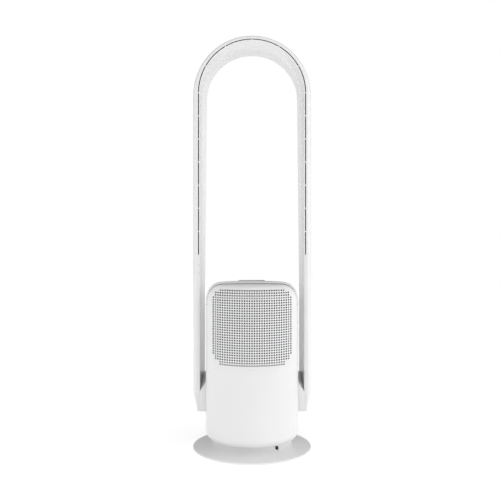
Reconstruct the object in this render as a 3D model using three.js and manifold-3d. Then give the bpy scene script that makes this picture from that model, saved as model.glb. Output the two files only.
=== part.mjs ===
// Bladeless tower fan: a drum-shaped fan body on a round base, with a tall hollow loop that carries the
// air up both legs and lets it out through a thin slit in the loop's edge.
// Millimetres, +Z up. The origin is the centre of the base, on the floor. The intake grille, the slit and
// the power inlet face -Y.
import * as THREE from "three";
import { mergeVertices } from "three/addons/utils/BufferGeometryUtils.js";
import Module from "manifold-3d";

const wasm = await Module();
wasm.setup();

// ---- driving dimensions ----
const gap = 0.3; // left between pieces that touch
const wall = 2.5; // plastic shells

const base = { radius: 139, rimBottom: 1, neckRadius: 87, neckTop: 22.8 };
const basePlate = { radius: 135.6, bottom: 1.2, top: 2.6 };
const foot = { radius: 8, height: 0.9, circle: 120, count: 5 };
const baseScrew = { circle: 70, headRadius: 3.6, headBottom: 1.35, headTop: 2.7, shankRadius: 1.6, tip: 8 };
const ballast = { radius: 84, bottom: 3.6, top: 10.6, screwHole: 2 };
const inlet = { angle: 39.6, z: 17.4, radius: 4.6, face: 87.2, depth: 13, bore: 2.8, boreDepth: 9.5, pin: 1 };

const body = {
  radius: 109,
  bottom: 24.5,
  bottomFillet: 18,
  shoulderZ: 339,
  shoulderDrop: 50,
  shoulderReach: 40,
  shoulderPower: 2.5,
  crown: 1,
};
const bodyTop = body.shoulderZ + body.shoulderDrop;
const seam = { lowerY: 0, upperY: -32, stepZ: 338, width: 0.6 };
const clip = { inner: 103, outer: 105.9, y0: -22, y1: 7, height: 8, heights: [60, 250] };
const filter = { inner: 98, outer: 101, halfAngle: 58, bottom: 207, top: 361, windowAngle: 54, border: 6 };

const loop = {
  archZ: 837, // centre of the half-circle arch
  depth: 100, // in Y, from the slit edge at y = 0
  edgeInner: 123.5, // the flat edge that the slit runs in
  edgeOuter: 129.7,
  slitInner: 125.8,
  slitOuter: 127.5,
  bulge: 13.3, // how far the outer wall swells beyond the edge
  creaseRadius: 122.3,
  creaseY: 71,
  lipRadius: 112.3, // the inner wall's far lip in the arch
  lipY: 90,
  lipTaper: 0.0107, // the lip draws back by this much for each mm down the legs, as far as lipDrawn
  lipDrawn: 4.7,
  farInner: 121.2,
  wall: 2.3,
  bottom: 83,
  taperStart: 128, // below this the outer wall draws in to the edge
  taperSlope: 0.42,
  taperRound: 7,
  capHeight: 2.7,
};
const slit = { segments: 7, segmentLength: 54.7, archStep: 30, ribWidth: 2.4, ribDepth: 6 };
const slitEndZ = loop.archZ - slit.segments * slit.segmentLength;

const duct = {
  frontY: 0.6,
  backY: 86,
  outerFront: 123.1,
  outerCrease: 121.9,
  outerBack: 117.7,
  innerX: 50,
  frontTop: 130,
  backTop: 163,
  rise: 1.43, // for each mm towards the drum
};
const port = { y0: 16, y1: 78, z0: 94, z1: 132 }; // the air passage from body to leg

const housing = { radius: 92, bottom: 88, floorTop: 91, top: 203, postCircle: 75, postRadius: 5 };
const inletRing = { top: 206, throat: 54 };
const floorPlate = {
  bottom: 24.6,
  top: 30.7,
  radius: 89.7,
  flange: 95.5,
  flangeBottom: 28.2,
  hubRadius: 24,
  hubTop: 42,
};
const floorScrew = { headRadius: 4, headBottom: 24.9, headTop: 27, shankRadius: 1.8, tip: 44 };
const spindle = { radius: 16, bore: 11, bottom: 10.9, top: 44.7, flange: 29, flangeHeight: 3, clearance: 0.4 };
const washer = { inner: 60, outer: 80, bottom: 23.1, top: 24.3 };
const gears = { module: 2, fixedTeeth: 36, pinionTeeth: 12, bottom: 45, top: 52, thinning: 0.15 };
const gearCentres = (gears.module * (gears.fixedTeeth + gears.pinionTeeth)) / 2;
const swingMotor = {
  radius: 14,
  top: 44,
  earReach: 21,
  earHalfWidth: 4,
  earTop: 33,
  shaft: 2.5,
  shaftBottom: 38,
};
const damper = { circle: 32, radius: 6, bottom: housing.floorTop + gap, top: 94.7 };
const mount = { radius: 40, bottom: 95, top: 98, tubeRadius: 8, tubeTop: 122 };
const motor = {
  shaft: 2,
  shaftBottom: 93.5,
  shaftTop: 190,
  bearing: 5,
  bearingHeight: 4,
  bearingBottoms: { lower: 99, upper: 117 },
  statorRadius: 22,
  statorBottom: 101,
  statorTop: 117,
  bellRadius: 27,
  bellBottom: 99,
  bellTop: 126,
};
const fan = {
  radius: 82,
  blades: 9,
  hubBottom: 127.2,
  hubTop: 185,
  bore: 2.4,
  blade: { radius: 62, drop: 46, shift: 50, from: 128, to: 58, thickness: 1.8 }, // an arc in plan
};
const nut = { radius: 5, height: 3.6, middle: 187.1 };
const panel = {
  x0: -33,
  x1: 31,
  y0: 52,
  y1: 76,
  bottom: 385.2,
  top: 390.4,
  corner: 5,
  border: 2, // between the lens and the edge
  lensX1: -10,
  lensWell: 1.5,
  lensThickness: 1.2,
};
const controlBoard = { x: 36, y0: 46, y1: 74, z0: 379, z1: 380.6 };
const mainBoard = { x: 48, front: -76, back: -74.4, z0: 35, z1: 82 };
// components on the main board: x0, x1, how far they stand out, z0, z1
const components = [
  [-40, -22, 9, 42, 58],
  [-14, 4, 6, 60, 76],
  [14, 34, 5, 40, 50],
  [16, 40, 7, 62, 74],
];

// ---- materials ----
const finish = (color, roughness, metalness = 0) =>
  new THREE.MeshStandardMaterial({ color, roughness, metalness });
const materials = {
  shell: finish(0xf2f2f2, 0.38),
  chassis: finish(0xd9dadb, 0.6),
  black: finish(0x1b1c1e, 0.45),
  darkGlass: finish(0x16181a, 0.12),
  panel: finish(0xa9acb0, 0.3),
  rubber: finish(0x2b2c2e, 0.9),
  steel: finish(0xb9bcc0, 0.35, 1),
  acetal: finish(0xeceade, 0.5),
  board: finish(0x1f6a3c, 0.55),
  filter: finish(0x8e9498, 0.95),
  impeller: finish(0x9ba3ab, 0.45),
  copper: finish(0xb87333, 0.4, 0.9),
};

const fan3d = new THREE.Group();
function add(name, geometry, material) {
  const mesh = new THREE.Mesh(geometry, material);
  mesh.name = name;
  fan3d.add(mesh);
}

// ---- geometry helpers ----
const degrees = THREE.MathUtils.degToRad;
const range = (count) => Array.from({ length: count }, (_, i) => i);
const onCircle = (radius, angle) => [radius * Math.cos(angle), radius * Math.sin(angle)];

// A geometry as a closed solid for joining and cutting, turned right side out.
function solid(geometry) {
  const bare = geometry.index ? geometry.toNonIndexed() : geometry.clone();
  bare.deleteAttribute("normal");
  bare.deleteAttribute("uv");
  const merged = mergeVertices(bare, 1e-4);
  const place = merged.attributes.position;
  const faces = [];
  let volume = 0;
  const corner = [new THREE.Vector3(), new THREE.Vector3(), new THREE.Vector3()];
  for (let i = 0; i < merged.index.count; i += 3) {
    const ids = [0, 1, 2].map((k) => merged.index.getX(i + k));
    if (new Set(ids).size < 3) continue; // a sliver at the axis of a turned piece
    ids.forEach((id, k) => corner[k].fromBufferAttribute(place, id));
    volume += corner[0].dot(corner[1].cross(corner[2]));
    faces.push(ids);
  }
  if (volume < 0) faces.forEach((face) => face.reverse());
  return new wasm.Manifold(
    new wasm.Mesh({ numProp: 3, vertProperties: place.array, triVerts: new Uint32Array(faces.flat()) }),
  );
}

function geometryOf(manifold) {
  const mesh = manifold.getMesh();
  return new THREE.BufferGeometry()
    .setAttribute("position", new THREE.BufferAttribute(mesh.vertProperties, 3))
    .setIndex(new THREE.BufferAttribute(mesh.triVerts, 1));
}

const joined = (solids) => solids.reduce((all, next) => all.add(next));
const cut = (from, tools) => tools.reduce((left, tool) => left.subtract(tool), from);

// A profile of [radius, z] pairs turned about Z. A profile off the axis is closed on itself.
function turned(profile, segments = 48) {
  const points = profile.map(([r, z]) => new THREE.Vector2(r, z));
  if (points[0].x > 0) points.push(points[0].clone());
  return solid(new THREE.LatheGeometry(points, segments).rotateX(Math.PI / 2));
}

function cylinder(radius, z0, z1, x = 0, y = 0, segments = 24) {
  const shape = new THREE.CylinderGeometry(radius, radius, z1 - z0, segments);
  return solid(shape.rotateX(Math.PI / 2).translate(x, y, (z0 + z1) / 2));
}

const tube = (inner, outer, z0, z1, segments) =>
  turned([[inner, z0], [outer, z0], [outer, z1], [inner, z1]], segments);

function block(x0, x1, y0, y1, z0, z1) {
  const shape = new THREE.BoxGeometry(x1 - x0, y1 - y0, z1 - z0);
  return solid(shape.translate((x0 + x1) / 2, (y0 + y1) / 2, (z0 + z1) / 2));
}

// An outline of Vector2 points in the XY plane, raised from z0 to z1.
function prism(outline, z0, z1) {
  const shape = new THREE.Shape(outline);
  return solid(new THREE.ExtrudeGeometry(shape, { depth: z1 - z0, bevelEnabled: false }).translate(0, 0, z0));
}

// Sections of the same number of [a, b] points, each set in space by its own station, skinned and capped.
function skinned(stations) {
  const count = stations[0].section.length;
  const positions = stations.flatMap((s) => s.section.flatMap(([a, b]) => s.place(a, b)));
  const indices = [];
  for (let ring = 0; ring < stations.length - 1; ring++) {
    for (let i = 0; i < count; i++) {
      const a = ring * count + i;
      const b = ring * count + ((i + 1) % count);
      indices.push(a, b, b + count, a, b + count, a + count);
    }
  }
  const capFaces = (section) => {
    const outline = section.map(([a, b]) => new THREE.Vector2(a, b));
    const faces = THREE.ShapeUtils.triangulateShape(outline, []);
    return THREE.ShapeUtils.isClockWise(outline) ? faces.map(([a, b, c]) => [a, c, b]) : faces;
  };
  const last = (stations.length - 1) * count;
  capFaces(stations[0].section).forEach(([a, b, c]) => indices.push(a, c, b));
  capFaces(stations.at(-1).section).forEach(([a, b, c]) => indices.push(last + a, last + b, last + c));
  const shape = new THREE.BufferGeometry();
  shape.setAttribute("position", new THREE.Float32BufferAttribute(positions, 3));
  shape.setIndex(indices);
  return solid(shape);
}

// ---- base: flared cover, floor plate, ballast, feet and power inlet ----
function baseCover() {
  const { radius, rimBottom, neckRadius, neckTop } = base;
  const rim = [[radius, rimBottom], [radius, 3.2], [136.5, 5]];
  const flare = [[115, 6.4], [100, 8], [92.5, 10.4], [88.6, 15]];
  const neck = [[neckRadius, 22], [neckRadius - 1, neckTop], [30, neckTop], [30, 20.6], [84.6, 20.6]];
  const inside = [[87, 12.9], [99.4, 5.9], [136.3, 3], [136.8, rimBottom]];
  const shell = turned([...rim, ...flare, ...neck, ...inside]);
  return cut(shell, [alongInlet(inlet.radius + gap, inlet.face - inlet.depth - 1, inlet.face + 8)]);
}

// A round bar on the power inlet's axis, between two distances from the centre of the base.
function alongInlet(radius, near, far, sides = 20) {
  const bar = new THREE.CylinderGeometry(radius, radius, far - near, sides);
  bar.translate(0, -(near + far) / 2, 0); // the bar's own axis is Y, so it already points out along -Y
  return solid(bar.rotateZ(degrees(inlet.angle)).translate(0, 0, inlet.z));
}

function powerInlet() {
  const socket = alongInlet(inlet.radius, inlet.face - inlet.depth, inlet.face);
  return cut(socket, [alongInlet(inlet.bore, inlet.face - inlet.boreDepth, inlet.face + 1)]);
}

const footAngles = range(foot.count).map((i) => degrees(90 + (i * 360) / foot.count));
const baseScrewAngles = range(4).map((i) => degrees(45 + i * 90));

function baseBottomPlate() {
  const plate = cylinder(basePlate.radius, basePlate.bottom, basePlate.top, 0, 0, 48);
  const { circle, headRadius } = baseScrew;
  return cut(plate, baseScrewAngles.map((a) => cylinder(headRadius + 0.4, 0, 4, ...onCircle(circle, a), 16)));
}

function ballastPlate() {
  const plate = cylinder(ballast.radius, ballast.bottom, ballast.top, 0, 0, 48);
  const hole = (angle) => cylinder(ballast.screwHole, 0, 20, ...onCircle(baseScrew.circle, angle), 12);
  return cut(plate, baseScrewAngles.map(hole));
}

// A pan-head screw with its head facing the floor.
function screw({ headRadius, headBottom, headTop, shankRadius, tip }, x, y) {
  return joined([
    cylinder(headRadius, headBottom, headTop, x, y, 12),
    cylinder(shankRadius, headTop - 0.1, tip, x, y, 8),
  ]);
}

add("base_cover", geometryOf(baseCover()), materials.shell);
add("base_bottom_plate", geometryOf(baseBottomPlate()), materials.chassis);
add("ballast_plate", geometryOf(ballastPlate()), materials.steel);
footAngles.forEach((angle, i) => {
  const [x, y] = onCircle(foot.circle, angle);
  add(`foot_${i + 1}`, geometryOf(cylinder(foot.radius, 0, foot.height, x, y, 16)), materials.rubber);
});
baseScrewAngles.forEach((angle, i) => {
  const [x, y] = onCircle(baseScrew.circle, angle);
  add(`base_screw_${i + 1}`, geometryOf(screw(baseScrew, x, y)), materials.steel);
});
add("power_inlet", geometryOf(powerInlet()), materials.black);
const inletPin = alongInlet(inlet.pin, inlet.face - inlet.boreDepth + gap, inlet.face - 1.5, 12);
add("power_inlet_pin", geometryOf(inletPin), materials.steel);

// ---- swing: fixed spindle and gear on the base, motor and pinion in the body ----
function gearOutline(teeth) {
  const pitch = (gears.module * teeth) / 2;
  const pressure = degrees(20);
  const baseCircle = pitch * Math.cos(pressure);
  const root = pitch - 1.25 * gears.module;
  const tip = pitch + gears.module;
  const spread = (r) => {
    const roll = Math.sqrt(Math.max(0, (r / baseCircle) ** 2 - 1));
    return roll - Math.atan(roll);
  };
  const halfTooth = (Math.PI * gears.module) / 4 / pitch - gears.thinning / pitch + spread(pitch);
  const start = Math.max(baseCircle, root);
  const side = [[root, halfTooth - spread(start)], [tip, halfTooth - spread(tip)]];
  return range(teeth).flatMap((i) => {
    const centre = (i * 2 * Math.PI) / teeth;
    const rising = side.map(([r, a]) => new THREE.Vector2(...onCircle(r, centre - a)));
    const falling = side.map(([r, a]) => new THREE.Vector2(...onCircle(r, centre + a))).reverse();
    return [...rising, ...falling];
  });
}

function spindleTube() {
  const { radius, bore, bottom, top, flange, flangeHeight } = spindle;
  const step = bottom + flangeHeight;
  const outside = [[flange, bottom], [flange, step], [radius, step], [radius, top]];
  return turned([[bore, bottom], ...outside, [bore, top]], 24);
}

function swingGear() {
  const gear = prism(gearOutline(gears.fixedTeeth), gears.bottom, gears.top);
  return cut(gear, [cylinder(spindle.bore, 40, 60)]);
}

function swingPinion() {
  const halfTooth = degrees(180 / gears.pinionTeeth);
  const centre = new THREE.Vector2(0, gearCentres);
  const outline = gearOutline(gears.pinionTeeth).map((p) => p.add(centre).rotateAround(centre, halfTooth));
  const shaft = cylinder(swingMotor.shaft, swingMotor.shaftBottom, gears.bottom + 1, 0, gearCentres, 16);
  return joined([prism(outline, gears.bottom, gears.top), shaft]);
}

function swingMotorCan() {
  const { radius, top, earReach, earHalfWidth, earTop, shaft, shaftBottom } = swingMotor;
  const seat = floorPlate.top + gap;
  const can = cylinder(radius, seat, top, 0, gearCentres, 32);
  const ears = block(-earReach, earReach, gearCentres - earHalfWidth, gearCentres + earHalfWidth, seat, earTop);
  const shaftWell = cylinder(shaft + 0.7, shaftBottom - 1, top + 6, 0, gearCentres, 16);
  return cut(joined([can, ears]), [shaftWell]);
}

add("spindle_tube", geometryOf(spindleTube()), materials.steel);
add("swing_gear", geometryOf(swingGear()), materials.acetal);
const thrustWasher = tube(washer.inner, washer.outer, washer.bottom, washer.top, 36);
add("thrust_washer", geometryOf(thrustWasher), materials.acetal);
add("swing_pinion", geometryOf(swingPinion()), materials.acetal);
add("swing_motor", geometryOf(swingMotorCan()), materials.steel);

// ---- body: one vessel, split into the rounded shell and the grille cover ----
// The shoulder is a quarter of a superellipse, from the drum's side up to the flat top.
function vesselProfile(inset) {
  const { radius, bottom, bottomFillet, shoulderZ, shoulderDrop, shoulderReach, shoulderPower, crown } = body;
  const corner = radius - bottomFillet;
  const fillet = range(5).map((i) => {
    const [x, z] = onCircle(bottomFillet - inset, degrees(-90 + i * 22.5));
    return [corner + x, bottom + bottomFillet + z];
  });
  const shoulder = range(8).map((i) => {
    const angle = degrees((i * 90) / 7);
    const across = (shoulderReach - inset) * Math.cos(angle) ** (2 / shoulderPower);
    const up = (shoulderDrop - inset) * Math.sin(angle) ** (2 / shoulderPower);
    return [radius - shoulderReach + across, shoulderZ + up];
  });
  return [[0, bottom + inset], ...fillet, ...shoulder, [0, bodyTop - inset + crown]];
}

const drumSegments = 40;
const vessel = turned(vesselProfile(0), drumSegments)
  .subtract(turned(vesselProfile(wall), drumSegments))
  .subtract(cylinder(floorPlate.radius + gap, 20, 28, 0, 0, 40));

const coverSpace = (grow) =>
  joined([
    block(-200, 200, -200, seam.lowerY + grow - seam.width / 2, 0, seam.stepZ + grow),
    block(-200, 200, -200, seam.upperY + grow - seam.width / 2, 0, 500),
  ]);

function grilleCover() {
  const inside = cylinder(106.7, 0, 400, 0, 0, drumSegments);
  const clips = [-1, 1].flatMap((side) =>
    clip.heights.map((z) => {
      const [x0, x1] = [side * clip.inner, side * clip.outer].sort((a, b) => a - b);
      return block(x0, x1, clip.y0, clip.y1, z, z + clip.height).intersect(inside);
    }),
  );
  return joined([vessel.intersect(coverSpace(0)), ...clips]);
}

function bodyShell() {
  const ports = [-1, 1].map((side) => portBlock(side, 40, 130, wall + gap));
  const panelHole = block(panel.x0 - gap, panel.x1 + gap, panel.y0 - gap, panel.y1 + gap, 380, 400);
  return cut(vessel.subtract(coverSpace(seam.width)), [...ports, panelHole]);
}

const postAngles = [90, 210, 330].map(degrees);

// The air passage as a block between two distances from the middle, widened by grow.
function portBlock(side, near, far, grow = 0) {
  const [x0, x1] = [side * near, side * far].sort((a, b) => a - b);
  return block(x0, x1, port.y0 - grow, port.y1 + grow, port.z0 - grow, port.z1 + grow);
}

function bodyFloor() {
  const plate = joined([
    cylinder(floorPlate.radius, floorPlate.bottom, floorPlate.top, 0, 0, 40),
    cylinder(floorPlate.flange, floorPlate.flangeBottom, floorPlate.top, 0, 0, 40),
    cylinder(floorPlate.hubRadius, 28, floorPlate.hubTop, 0, 0, 24),
  ]);
  const bearing = cylinder(spindle.radius + spindle.clearance, 20, 50, 0, 0, 24);
  const screwWays = postAngles.flatMap((angle) => {
    const [x, y] = onCircle(housing.postCircle, angle);
    const head = cylinder(floorScrew.headRadius + 0.4, 20, floorScrew.headTop + 0.2, x, y, 16);
    return [head, cylinder(floorScrew.shankRadius + 0.4, 20, 40, x, y, 12)];
  });
  return cut(plate, [bearing, ...screwWays]);
}

// A curved panel behind the grille, between two radii and two half-angles about -Y.
function curvedPanel(inner, outer, halfAngle, z0, z1) {
  const shape = new THREE.Shape();
  const middle = -Math.PI / 2;
  shape.absarc(0, 0, outer, middle - halfAngle, middle + halfAngle, false);
  shape.absarc(0, 0, inner, middle + halfAngle, middle - halfAngle, true);
  const options = { depth: z1 - z0, bevelEnabled: false, curveSegments: 12 };
  return solid(new THREE.ExtrudeGeometry(shape, options).translate(0, 0, z0));
}

function filterFrame() {
  const { inner, outer, halfAngle, bottom, top, windowAngle, border } = filter;
  const window = curvedPanel(inner - 8, outer + 9, degrees(windowAngle), bottom + border, top - border);
  return curvedPanel(inner, outer, degrees(halfAngle), bottom, top).subtract(window);
}

// The net fills the frame's window, 0.4 mm clear all round.
function filterNet() {
  const { inner, outer, bottom, top, windowAngle, border } = filter;
  const edge = border + 0.4;
  return curvedPanel(inner + 0.8, outer - 0.8, degrees(windowAngle - 0.2), bottom + edge, top - edge);
}

add("grille_cover", geometryOf(grilleCover()), materials.shell);
add("filter_frame", geometryOf(filterFrame()), materials.chassis);
add("filter_mesh", geometryOf(filterNet()), materials.filter);
add("body_shell", geometryOf(bodyShell()), materials.shell);
add("body_floor", geometryOf(bodyFloor()), materials.chassis);
postAngles.forEach((angle, i) => {
  const [x, y] = onCircle(housing.postCircle, angle);
  add(`floor_screw_${i + 1}`, geometryOf(screw(floorScrew, x, y)), materials.steel);
});

// ---- controls on the top, and the circuit boards ----
function rounded(x0, x1, y0, y1, r) {
  const shape = new THREE.Shape();
  shape.absarc(x1 - r, y0 + r, r, -Math.PI / 2, 0, false);
  shape.absarc(x1 - r, y1 - r, r, 0, Math.PI / 2, false);
  shape.absarc(x0 + r, y1 - r, r, Math.PI / 2, Math.PI, false);
  shape.absarc(x0 + r, y0 + r, r, Math.PI, Math.PI * 1.5, false);
  return shape.getPoints(4);
}

// The lens's outline, drawn in by clear from the well that it sits in.
function lensOutline(clear) {
  const edge = panel.border + clear;
  const corner = panel.corner - panel.border - (2 * clear) / 3;
  return rounded(panel.x0 + edge, panel.lensX1 - clear, panel.y0 + edge, panel.y1 - edge, corner);
}

function controlPanel() {
  const plate = prism(rounded(panel.x0, panel.x1, panel.y0, panel.y1, panel.corner), panel.bottom, panel.top);
  return plate.subtract(prism(lensOutline(0), panel.top - panel.lensWell, panel.top + 10));
}

function mainBoardPiece() {
  const { x, front, back, z0, z1 } = mainBoard;
  const parts = components.map(([x0, x1, out, low, high]) => block(x0, x1, front - out, front + 0.1, low, high));
  return joined([block(-x, x, front, back, z0, z1), ...parts]);
}

add("control_panel", geometryOf(controlPanel()), materials.panel);
const lens = prism(lensOutline(gap), panel.top - panel.lensThickness, panel.top);
add("display_lens", geometryOf(lens), materials.darkGlass);
const { x: boardX, y0: boardY0, y1: boardY1, z0: boardZ0, z1: boardZ1 } = controlBoard;
add("control_board", geometryOf(block(-boardX, boardX, boardY0, boardY1, boardZ0, boardZ1)), materials.board);
add("main_board", geometryOf(mainBoardPiece()), materials.board);

// ---- fan unit: housing, inlet ring, motor and impeller ----
function fanHousing() {
  const { radius, bottom, floorTop, top, postCircle, postRadius } = housing;
  const outside = [[5, bottom], [radius, bottom], [radius, top]];
  const inside = [[radius - wall, top], [radius - wall, floorTop], [5, floorTop]];
  const tub = turned([...outside, ...inside], 40);
  const seat = floorPlate.top + gap;
  const posts = postAngles.map((a) => cylinder(postRadius, seat, bottom + 1, ...onCircle(postCircle, a), 16));
  const pilotRadius = floorScrew.shankRadius + gap;
  const pilots = postAngles.map((a) => cylinder(pilotRadius, 20, 50, ...onCircle(postCircle, a), 12));
  const outlets = [-1, 1].map((side) => portBlock(side, 30, 130));
  return cut(joined([tub, ...posts]), [...pilots, ...outlets]);
}

function inletRingPiece() {
  const { top, throat } = inletRing;
  const under = housing.top + gap;
  return turned(
    [
      [housing.radius, under], [housing.radius, top], [64, top], [throat + 2, top - 3], [throat, top - 7.5],
      [throat + 2, top - 7.5], [throat + 8, under],
    ],
    40,
  );
}

const damperAngles = [30, 150, 270].map(degrees);

function motorMount() {
  const bore = motor.bearing + gap;
  return joined([
    tube(bore, mount.radius, mount.bottom, mount.top, 24),
    tube(bore, mount.tubeRadius, mount.top - 0.1, mount.tubeTop, 24),
  ]);
}

function motorBearing(bottom) {
  return tube(motor.shaft + gap, motor.bearing, bottom, bottom + motor.bearingHeight, 16);
}

// An open cup that carries the magnets round the stator.
function rotorBell() {
  const { bellRadius: outer, bellBottom: bottom, bellTop: top } = motor;
  const [bore, inner, ceiling] = [motor.shaft + gap, outer - 2.5, top - 2.5];
  const inside = [[bore, ceiling], [inner, ceiling], [inner, bottom]];
  return turned([...inside, [outer, bottom], [outer, top], [bore, top]], 24);
}

// The hub is a cone shell; the blades are curved plates, trimmed to stand between the hub and the inlet ring.
function impeller() {
  const { bore, hubBottom, hubTop, radius, blade: arc } = fan;
  const boss = [[bore, hubBottom], [10, hubBottom], [10, 176]];
  const underside = [[17, 174], [29, 163], [44, 150], [73, 130.3]];
  const topside = [[79, 127], [80, 129], [74, 134], [45, 154], [30, 167], [8, 184], [bore, hubTop]];
  const hub = turned([...boss, ...underside, ...topside], 32);
  const alongHub = [[19, 176], [29, 166], [44, 153], [59, 142], [73, 133], [79, 128.5]];
  const alongRing = [[radius, 131], [radius, 152], [70, 170], [56, 186], [50, 196], [26, 192]];
  const swept = turned([...alongHub, ...alongRing], 24);
  const bladeCentre = new THREE.EllipseCurve(
    0, -arc.drop, arc.radius, arc.radius, degrees(arc.from), degrees(arc.to), true,
  ).getPoints(4);
  const side = (sign) =>
    bladeCentre.map((p) => {
      const outward = new THREE.Vector2(p.x, p.y + arc.drop).normalize();
      return p.clone().addScaledVector(outward, (sign * arc.thickness) / 2);
    });
  const outline = [...side(1), ...side(-1).reverse()].map((p) => new THREE.Vector2(p.x + arc.shift, p.y));
  const blade = prism(outline, 120, 200);
  const blades = range(fan.blades).map((i) => blade.rotate([0, 0, (i * 360) / fan.blades]).intersect(swept));
  return joined([hub, ...blades]);
}

function hexNut() {
  const hexagon = new THREE.CylinderGeometry(nut.radius, nut.radius, nut.height, 6);
  hexagon.rotateX(Math.PI / 2).translate(0, 0, nut.middle);
  return cut(solid(hexagon), [cylinder(motor.shaft + gap, 180, 195, 0, 0, 16)]);
}

add("fan_housing", geometryOf(fanHousing()), materials.chassis);
add("inlet_ring", geometryOf(inletRingPiece()), materials.chassis);
damperAngles.forEach((angle, i) => {
  const [x, y] = onCircle(damper.circle, angle);
  const pad = cylinder(damper.radius, damper.bottom, damper.top, x, y, 20);
  add(`motor_damper_${i + 1}`, geometryOf(pad), materials.rubber);
});
add("motor_mount", geometryOf(motorMount()), materials.steel);
const stator = tube(mount.tubeRadius + gap, motor.statorRadius, motor.statorBottom, motor.statorTop, 24);
add("motor_stator", geometryOf(stator), materials.copper);
Object.entries(motor.bearingBottoms).forEach(([word, bottom]) => {
  add(`motor_bearing_${word}`, geometryOf(motorBearing(bottom)), materials.steel);
});
const shaft = cylinder(motor.shaft, motor.shaftBottom, motor.shaftTop, 0, 0, 16);
add("motor_shaft", geometryOf(shaft), materials.steel);
add("rotor_bell", geometryOf(rotorBell()), materials.steel);
add("impeller", geometryOf(impeller()), materials.impeller);
add("impeller_nut", geometryOf(hexNut()), materials.steel);

// ---- loop: an outer shell and an inner shell, closed round the air duct ----
// A section is drawn as [radius from the loop's middle, y]; a station sets it on the right leg, round the
// arch or on the left leg.
const outerBulge = (z) => {
  const below = Math.max(0, loop.taperStart - z);
  const drawnIn = Math.hypot(loop.taperRound, loop.taperSlope * below) - loop.taperRound;
  return Math.max(0, loop.bulge - drawnIn);
};

function outerSection(z) {
  const bulge = outerBulge(z);
  const half = loop.depth / 2;
  const steps = range(9).map((i) => degrees(i * 22.5));
  const outside = steps.map((a) => [loop.edgeOuter + bulge * Math.sin(a), half - half * Math.cos(a)]);
  const inHalf = half - loop.wall;
  const inside = steps.map((a) => [loop.slitOuter + bulge * Math.sin(a), half - inHalf * Math.cos(a)]);
  const farEdge = [[loop.farInner + gap, loop.depth], [loop.farInner + gap, loop.depth - loop.wall]];
  return [[loop.slitOuter, 0], ...outside, ...farEdge, ...inside.reverse()];
}

function innerSection(z) {
  const lip = loop.lipRadius + Math.min(loop.lipDrawn, loop.lipTaper * (loop.archZ - z));
  const { slitInner, edgeInner, creaseRadius, creaseY, lipY, farInner, depth } = loop;
  return [
    [slitInner, 0], [edgeInner, 0], [creaseRadius, creaseY],
    [lip + 1, lipY - 2], [lip, lipY], [lip + 1.2, lipY + 2.4],
    [farInner, depth - 0.2], [farInner, depth - loop.wall],
    [lip + 4, lipY + 1], [creaseRadius + loop.wall, creaseY], [slitInner, 4],
  ];
}

// Heights down a leg where the section changes, from the arch to the cap.
const legHeights = [loop.archZ, 398, 128, 114, 100, loop.bottom + loop.capHeight + gap];

function loopStations(section) {
  const onLeg = (side) => (z) => ({ section: section(z), place: (r, y) => [side * r, y, z] });
  const archSteps = range(23).map((i) => degrees(-82.5 + i * 7.5));
  const onArch = archSteps.map((a) => ({
    section: section(loop.archZ),
    place: (r, y) => [r * Math.sin(a), y, loop.archZ + r * Math.cos(a)],
  }));
  return [...legHeights.map(onLeg(-1)).reverse(), ...onArch, ...legHeights.map(onLeg(1))];
}

// Ribs hold the slit open: one block across it at each step of the arch and down each leg.
function slitRibs() {
  const half = slit.ribWidth / 2;
  const rib = block(loop.slitInner - 1, loop.slitOuter - gap, gap, slit.ribDepth, -half, half);
  const archTurns = range(5).map((i) => (i + 1) * slit.archStep - 180);
  const onArch = archTurns.map((turn) => rib.rotate([0, turn, 0]).translate([0, 0, loop.archZ]));
  const onLegs = range(slit.segments).flatMap((i) => {
    const z = loop.archZ - i * slit.segmentLength;
    return [rib.translate([0, 0, z]), rib.rotate([0, 180, 0]).translate([0, 0, z])];
  });
  return [...onArch, ...onLegs];
}

function loopInnerShell() {
  const shell = joined([skinned(loopStations(innerSection)), ...slitRibs()]);
  return cut(shell, [-1, 1].map((side) => portBlock(side, 112, 130, wall + gap)));
}

// The duct between the drum and a leg. Its outer side follows the leg's inner wall, and its top slopes up
// to the drum and up to the back.
function sideDuct(side) {
  const { innerX, rise, frontY, frontTop, backY, backTop } = duct;
  const topAt = (y) => THREE.MathUtils.mapLinear(y, frontY, backY, frontTop, backTop);
  const outline = [[frontY, duct.outerFront], [loop.creaseY, duct.outerCrease], [backY, duct.outerBack]];
  const ring = (xOf, lift) => [
    ...outline.map(([y, x]) => [side * xOf(x), y, loop.bottom]),
    ...outline.map(([y, x]) => [side * xOf(x), y, topAt(y) + lift]).reverse(),
  ];
  const station = (corners) => ({
    section: corners.map(([, y, z]) => [y, z]),
    place: (y, z) => corners.find((corner) => corner[1] === y && corner[2] === z),
  });
  const leg = station(ring((x) => x, 0));
  const drum = station(ring(() => innerX, (duct.outerFront - innerX) * rise));
  const fairing = skinned([leg, drum])
    .subtract(cylinder(body.radius + gap, 0, 500, 0, 0, drumSegments))
    .subtract(block(-200, 200, -10, 200, backTop + 0.5, 500));
  const collar = portBlock(side, 40, 115, wall)
    .subtract(cylinder(housing.radius + gap, 0, 500, 0, 0, drumSegments))
    .intersect(cylinder(body.radius + 2, 0, 500, 0, 0, drumSegments));
  return cut(joined([fairing, collar]), [portBlock(side, 30, 130)]);
}

function ductSeal(side) {
  return portBlock(side, 123.4, 127.4, wall).subtract(portBlock(side, 120, 130));
}

function legCap(side) {
  const { edgeInner, edgeOuter, creaseRadius, creaseY, lipY, depth, farInner, bottom, capHeight } = loop;
  const outline = [
    [edgeInner, gap], [edgeOuter, gap], [edgeOuter, depth - gap], [farInner + 0.5, depth - gap],
    [118.6, lipY], [creaseRadius + 0.1, creaseY],
  ];
  return prism(outline.map(([r, y]) => new THREE.Vector2(side * r, y)), bottom, bottom + capHeight);
}

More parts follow.
